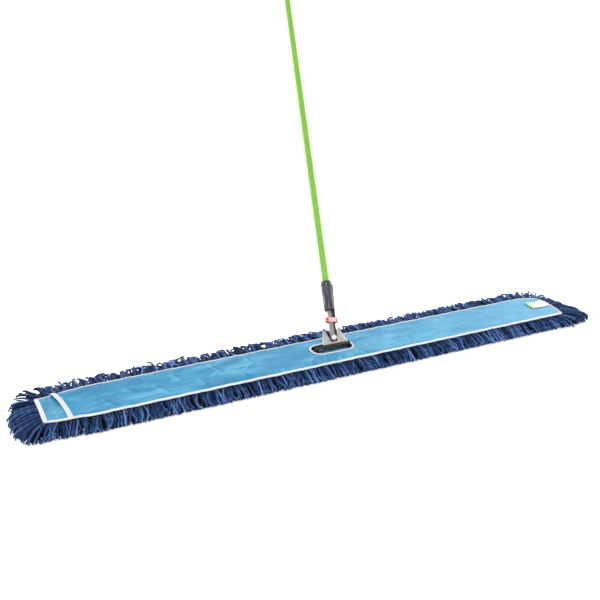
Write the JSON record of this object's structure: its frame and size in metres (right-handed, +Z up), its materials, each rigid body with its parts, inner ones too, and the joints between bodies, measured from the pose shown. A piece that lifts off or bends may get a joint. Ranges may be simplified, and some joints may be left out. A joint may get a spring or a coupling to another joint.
{
  "type": "flat dust mop",
  "caption": "Long flat dust mop: cloth head with yarn fringe on a wire frame, swivel bracket with lock ring, and a round tube handle leaning back.",
  "frame": {"origin": "on the floor under the middle of the cloth head, which is also the middle of the slot in its backing", "axes": "+X along the head, +Y to the back (the handle leans that way), +Z up"},
  "size_m": [1.676, 1.2246, 1.2675],
  "materials": {
    "navy_yarn": "matte",
    "blue_cloth": "satin",
    "white_tape": "matte",
    "white_label": "satin",
    "pressed_steel": "satin",
    "zinc_steel": "gloss",
    "black_steel": "satin",
    "red_plastic": "gloss",
    "charcoal_plastic": "satin",
    "lime_tube": "gloss"
  },
  "bodies": {
    "mop_head": {"yarn_pad": "navy_yarn", "yarn_fringe_front": "navy_yarn", "yarn_fringe_back": "navy_yarn", "yarn_fringe_left": "navy_yarn", "yarn_fringe_right": "navy_yarn", "base_cloth": "blue_cloth", "top_panel": "blue_cloth", "end_panel": "blue_cloth", "binding_front": "white_tape", "binding_back": "white_tape", "binding_left_end": "white_tape", "binding_right_end": "white_tape", "pocket_binding": "white_tape", "slot_binding": "white_tape", "care_label": "white_label", "frame_wire_left": "pressed_steel", "frame_wire_right": "pressed_steel", "frame_crimp_front": "pressed_steel", "frame_crimp_back": "pressed_steel", "bar_clamp_front_left": "black_steel", "bar_clamp_front_right": "black_steel", "bar_clamp_back_left": "black_steel", "bar_clamp_back_right": "black_steel", "cross_bar_left": "black_steel", "cross_bar_right": "black_steel", "hinge_bar": "black_steel", "tie_bar": "black_steel"},
    "bracket": {"bracket_front_plate": "pressed_steel", "bracket_back_plate": "black_steel", "plate_rivet_left": "pressed_steel", "plate_rivet_right": "pressed_steel", "pivot_pin": "zinc_steel", "pivot_washer": "black_steel"},
    "stem": {"stem_channel": "pressed_steel", "stem_shank": "zinc_steel", "shank_rivet": "zinc_steel", "shank_washer": "zinc_steel", "shank_nut": "zinc_steel"},
    "lock_ring": {"lock_ring": "red_plastic"},
    "handle": {"handle_socket": "charcoal_plastic", "socket_rivet": "pressed_steel", "handle_tube": "lime_tube", "end_cap": "charcoal_plastic"}
  },
  "joints": [
    {"name": "bracket_tilt", "type": "hinge", "parent": "mop_head", "child": "bracket", "pos_m": [0.0197, 0.008, 0.044], "axis": [-1, 0, 0], "range_deg": [-112.4, 27.6]},
    {"name": "stem_swing", "type": "hinge", "parent": "bracket", "child": "stem", "pos_m": [0.0197, 0.02209, 0.05943], "axis": [0, 0.7385, -0.6743], "range_deg": [-28, 6]},
    {"name": "handle_swivel", "type": "hinge", "parent": "stem", "child": "handle", "pos_m": [0.0197, 0.0215, 0.05997], "axis": [0.1908, 0.6619, 0.7249], "continuous": true},
    {"name": "lock_slide", "type": "slide", "parent": "stem", "child": "lock_ring", "axis": [0.1908, 0.6619, 0.7249], "range_m": [-0.011, 0]}
  ]
}
